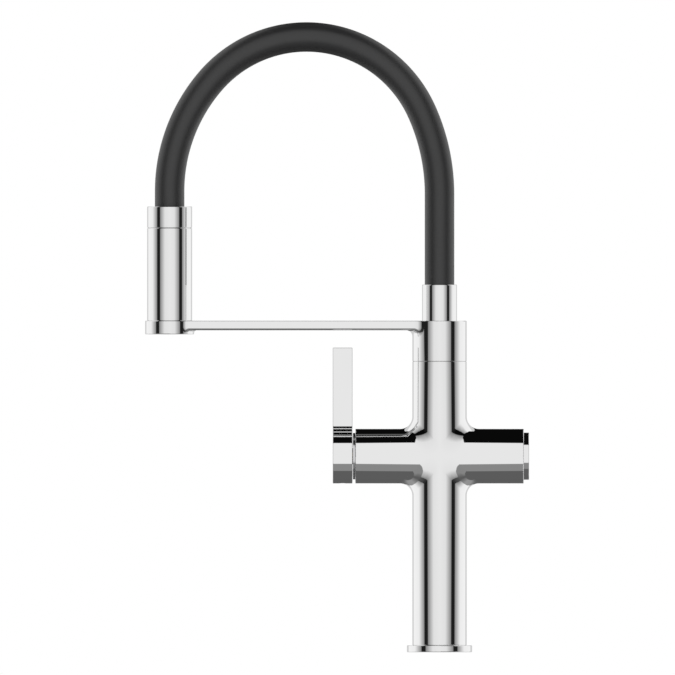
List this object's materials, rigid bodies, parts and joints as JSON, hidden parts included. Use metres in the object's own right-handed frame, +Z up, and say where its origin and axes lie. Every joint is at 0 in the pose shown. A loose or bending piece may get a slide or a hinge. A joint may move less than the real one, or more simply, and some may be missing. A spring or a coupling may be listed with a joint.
{
  "type": "pull-down sink mixer tap",
  "caption": "Pull-down sink mixer tap: cross-shaped chrome body with blade lever and push button, swivelling docking arm, arched black hose and lift-off hand spray.",
  "frame": {"origin": "centre of the base on the worktop, midway between the fixing holes", "axes": "+Z up along the post, -X along the docking arm at rest, -Y towards the user"},
  "size_m": [0.2858, 0.0486, 0.4689],
  "materials": {
    "chrome": "polished",
    "nut_chrome": "satin",
    "brass": "machined",
    "copper": "drawn tube",
    "steel": "plain",
    "hose_black": "smooth satin",
    "seal_rubber": "matte",
    "nozzle_silicone": "satin",
    "white_plastic": "moulded",
    "black_plastic": "moulded",
    "ceramic": "ground"
  },
  "bodies": {
    "body": {"mixer_body": "chrome", "base_ring": "chrome", "base_gasket": "seal_rubber", "inlet_block": "brass", "hot_riser": "copper", "cold_riser": "copper", "cartridge_seal": "seal_rubber", "cartridge_base": "white_plastic", "fixed_disc": "ceramic", "cartridge_housing": "white_plastic", "cartridge_nut": "nut_chrome", "valve_body": "brass", "valve_stem_seal": "seal_rubber", "button_bellows": "seal_rubber", "swivel_seal_lower": "seal_rubber", "swivel_seal_upper": "seal_rubber", "glide_ring": "white_plastic"},
    "docking_arm": {"docking_arm": "chrome", "arm_grub_screw": "steel", "dock_liner": "black_plastic", "hose_nipple": "brass", "hose_ferrule": "chrome", "hose_sleeve": "hose_black", "water_hose": "seal_rubber"},
    "hose_end": {"spray_collar": "chrome", "hose_end_fitting": "brass"},
    "spray_head": {"spray_shell": "chrome", "slip_ring": "white_plastic", "swivel_nut": "brass", "spray_core": "white_plastic", "check_valve": "white_plastic", "spray_nose": "black_plastic", "spray_face": "nozzle_silicone", "flow_disc": "steel"},
    "lever": {"lever_handle": "chrome", "cartridge_spindle": "brass", "moving_disc": "ceramic", "lever_grub_screw": "steel", "lever_plug": "black_plastic"},
    "button": {"push_button": "chrome", "valve_stem": "steel"}
  },
  "joints": [
    {"name": "lever_turn", "type": "hinge", "parent": "body", "child": "lever", "pos_m": [-0.072, 0, 0.1458], "axis": [1, 0, 0], "range_deg": [0, 100]},
    {"name": "button_press", "type": "slide", "parent": "body", "child": "button", "axis": [-1, 0, 0], "range_m": [0, 0.0025], "stiffness_N_per_m": 600, "deforming": ["button_bellows"]},
    {"name": "spout_swivel", "type": "hinge", "parent": "body", "child": "docking_arm", "pos_m": [0, 0, 0.2165], "axis": [0, 0, 1], "continuous": true},
    {"name": "spray_lift", "type": "slide", "parent": "docking_arm", "child": "hose_end", "axis": [0, 0, 1], "range_m": [0, 0.04], "deforming": ["hose_sleeve", "water_hose"]},
    {"name": "spray_spin", "type": "hinge", "parent": "hose_end", "child": "spray_head", "pos_m": [-0.2008, 0, 0.31575], "axis": [0, 0, 1], "continuous": true}
  ]
}
